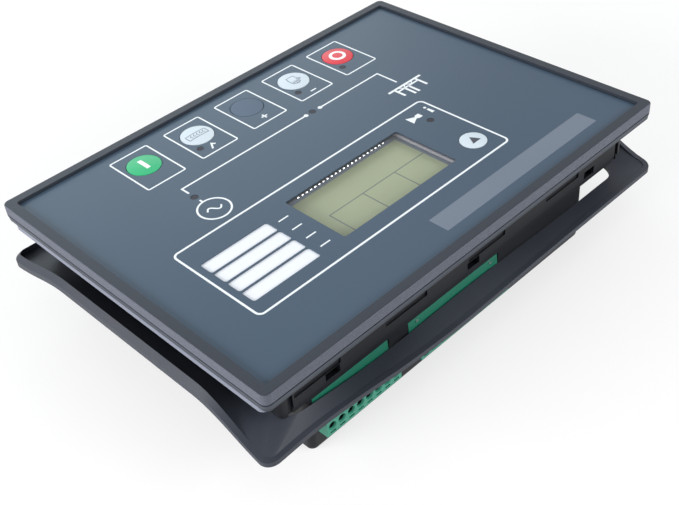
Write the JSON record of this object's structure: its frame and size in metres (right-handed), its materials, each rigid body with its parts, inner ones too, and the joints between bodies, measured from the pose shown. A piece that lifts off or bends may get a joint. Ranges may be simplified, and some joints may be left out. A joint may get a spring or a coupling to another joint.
{
  "type": "genset controller",
  "caption": "Panel-mount generating-set controller with a printed fascia, display, push buttons, terminal plugs at the back and a rubber panel gasket.",
  "frame": {"origin": "middle of the footprint, on the surface that the controller lies on", "axes": "+Z out of the fascia, +X to the fascia's right, +Y to the fascia's upper edge"},
  "size_m": [0.246, 0.178, 0.057],
  "materials": {
    "bezel_plastic": "fine moulded texture",
    "housing_plastic": "moulded satin",
    "film": "satin printed film",
    "clear_pane": "clear polished",
    "white_card": "plain card",
    "red_cap": "satin",
    "white_cap": "satin",
    "grey_cap": "satin",
    "green_cap": "satin",
    "black_plastic": "moulded",
    "dark_lens": "smooth",
    "display_face": "smooth",
    "bright_metal": "tinned",
    "white_plastic": "moulded",
    "board": "varnished laminate",
    "spacer_brass": "turned",
    "screw_steel": "zinc plated",
    "blue_plastic": "moulded",
    "capacitor_sleeve": "sleeve",
    "terminal_green": "moulded",
    "gasket_rubber": "moulded satin"
  },
  "bodies": {
    "case": {"front_bezel": "bezel_plastic", "fascia_overlay": "film", "display_window": "clear_pane", "label_card": "white_card", "push_switches": "black_plastic", "status_lamps": "dark_lens", "display_glass": "display_face", "display_pins": "bright_metal", "display_backlight": "white_plastic", "display_board": "board", "board_spacers": "spacer_brass", "board_link": "black_plastic", "main_board": "board", "board_screws": "screw_steel", "relays": "blue_plastic", "capacitors": "capacitor_sleeve", "logic_chips": "black_plastic", "current_sensors": "black_plastic", "header_a": "terminal_green", "header_b": "terminal_green", "header_voltage": "terminal_green", "header_current": "terminal_green", "header_pins": "bright_metal", "plug_a": "terminal_green", "plug_b": "terminal_green", "plug_voltage": "terminal_green", "plug_current": "terminal_green", "clamp_screws": "screw_steel", "coding_pins": "bright_metal", "rear_housing": "housing_plastic", "case_screws": "screw_steel", "gasket": "gasket_rubber"},
    "stop_cap": {"stop_button": "red_cap"},
    "manual_cap": {"manual_button": "white_cap"},
    "plus_cap": {"plus_button": "grey_cap"},
    "auto_cap": {"auto_button": "white_cap"},
    "start_cap": {"start_button": "green_cap"},
    "scroll_cap": {"scroll_button": "white_cap"}
  },
  "joints": [
    {"name": "stop_press", "type": "slide", "parent": "case", "child": "stop_cap", "axis": [0, 0, -1], "range_m": [0, 0.0006], "stiffness_N_per_m": 2000, "springref_m": -0.0003},
    {"name": "manual_press", "type": "slide", "parent": "case", "child": "manual_cap", "axis": [0, 0, -1], "range_m": [0, 0.0006], "stiffness_N_per_m": 2000, "springref_m": -0.0003},
    {"name": "plus_press", "type": "slide", "parent": "case", "child": "plus_cap", "axis": [0, 0, -1], "range_m": [0, 0.0006], "stiffness_N_per_m": 2000, "springref_m": -0.0003},
    {"name": "auto_press", "type": "slide", "parent": "case", "child": "auto_cap", "axis": [0, 0, -1], "range_m": [0, 0.0006], "stiffness_N_per_m": 2000, "springref_m": -0.0003},
    {"name": "start_press", "type": "slide", "parent": "case", "child": "start_cap", "axis": [0, 0, -1], "range_m": [0, 0.0006], "stiffness_N_per_m": 2000, "springref_m": -0.0003},
    {"name": "scroll_press", "type": "slide", "parent": "case", "child": "scroll_cap", "axis": [0, 0, -1], "range_m": [0, 0.0006], "stiffness_N_per_m": 2000, "springref_m": -0.0003}
  ]
}
